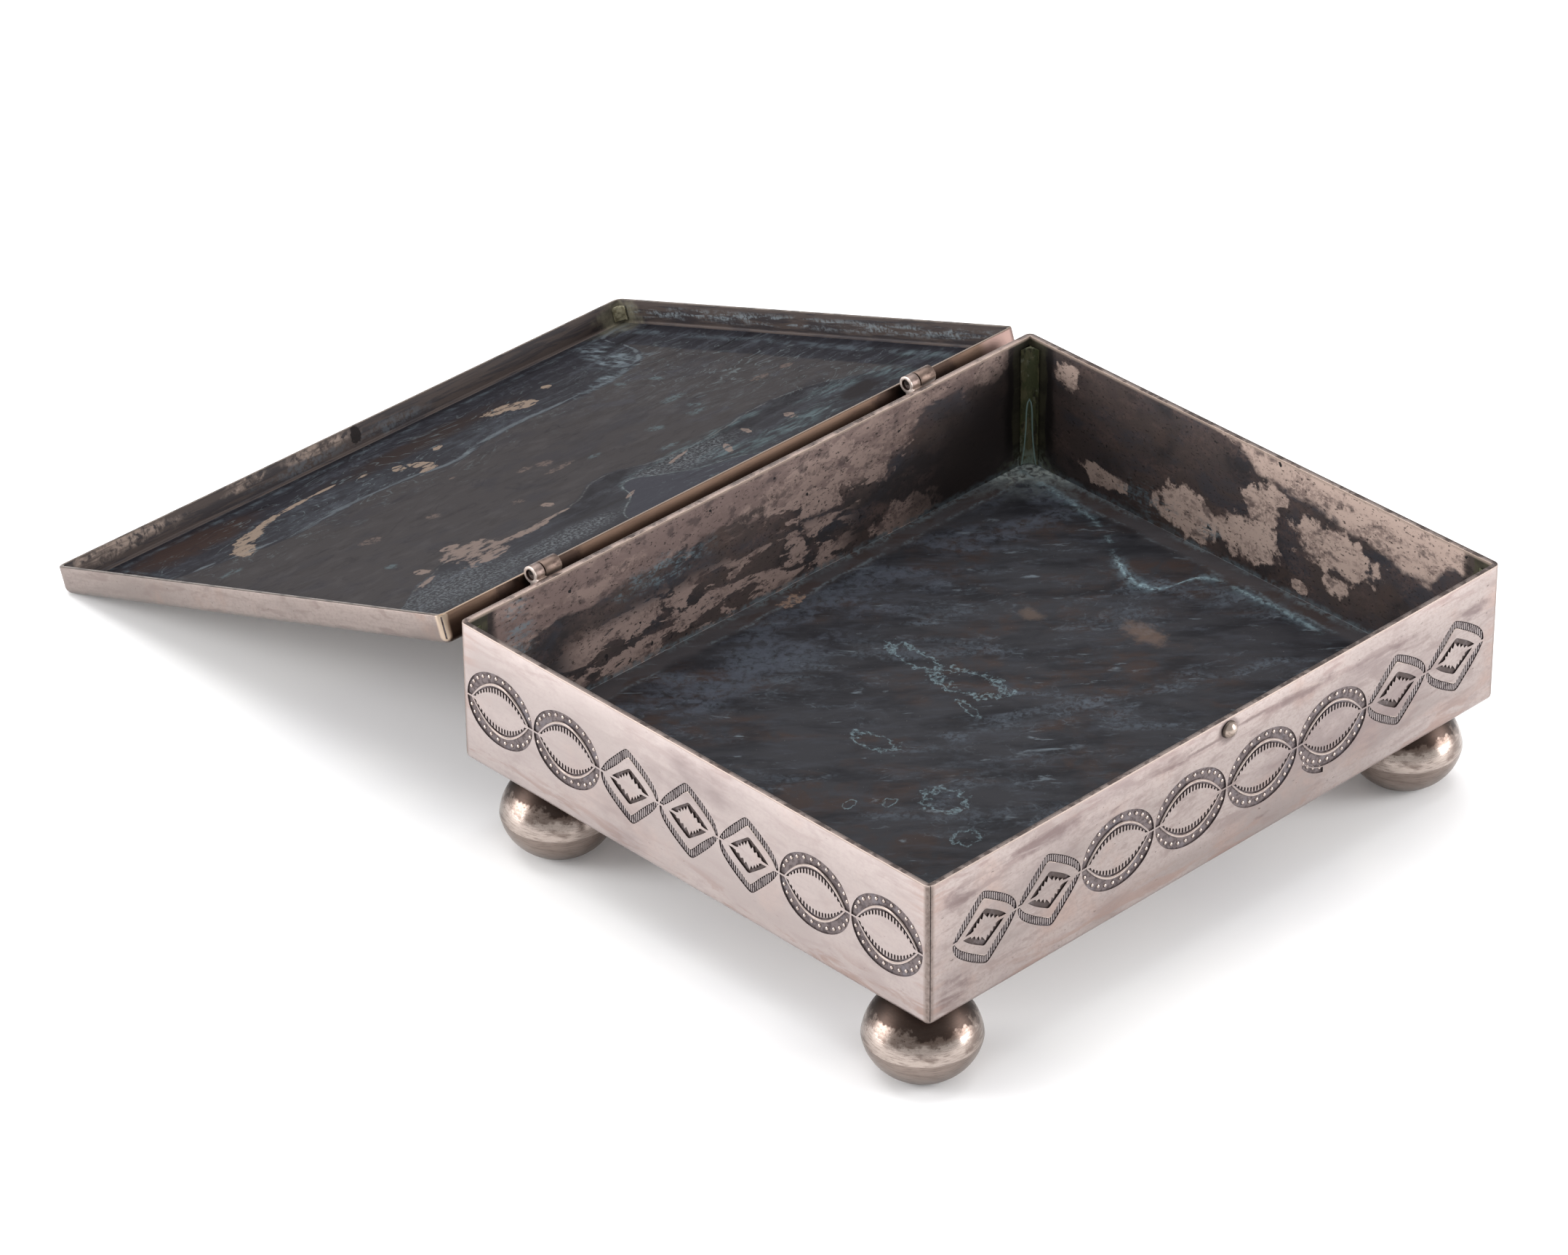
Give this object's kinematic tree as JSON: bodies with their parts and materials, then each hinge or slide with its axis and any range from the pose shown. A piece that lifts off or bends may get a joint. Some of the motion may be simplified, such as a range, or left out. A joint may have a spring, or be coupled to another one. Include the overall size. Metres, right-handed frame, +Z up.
{
  "type": "silver keepsake box",
  "caption": "Rectangular silver keepsake box with stamped oval and diamond border, ball feet, and a hinged tray lid folded fully back.",
  "frame": {"origin": "middle of the footprint of the whole open box, on the table that its feet and the lid's outer edge rest on", "axes": "+Z up; +X along the hinge line, to the right of someone facing the front wall; -Y from the hinge towards the front wall with the bead, +Y towards the lid's outer edge"},
  "size_m": [0.1622, 0.2566, 0.051],
  "materials": {
    "silver_sheet": "worn satin silver",
    "silver_ball": "satin silver",
    "silver_solder": "tarnished",
    "hinge_tube": "tarnished",
    "hinge_wire": "worn"
  },
  "bodies": {
    "box": {"box_tray": "silver_sheet", "box_solder_front_left": "silver_solder", "box_solder_front_right": "silver_solder", "box_solder_back_left": "silver_solder", "box_solder_back_right": "silver_solder", "foot_front_left_upper_dome": "silver_ball", "foot_front_left_lower_dome": "silver_ball", "foot_front_right_upper_dome": "silver_ball", "foot_front_right_lower_dome": "silver_ball", "foot_back_left_upper_dome": "silver_ball", "foot_back_left_lower_dome": "silver_ball", "foot_back_right_upper_dome": "silver_ball", "foot_back_right_lower_dome": "silver_ball", "catch_bead": "silver_ball", "hinge_left_box_knuckle": "hinge_tube", "hinge_left_pin": "hinge_wire", "hinge_right_box_knuckle": "hinge_tube", "hinge_right_pin": "hinge_wire"},
    "lid": {"lid_tray": "silver_sheet", "lid_solder_front_left": "silver_solder", "lid_solder_front_right": "silver_solder", "lid_solder_back_left": "silver_solder", "lid_solder_back_right": "silver_solder", "hinge_left_lid_knuckle": "hinge_tube", "hinge_right_lid_knuckle": "hinge_tube"}
  },
  "joints": [
    {"name": "lid_hinge", "type": "hinge", "parent": "box", "child": "lid", "pos_m": [0.0015, 0.00413, 0.04885], "axis": [1, 0, 0], "range_deg": [0, 199.2]}
  ]
}
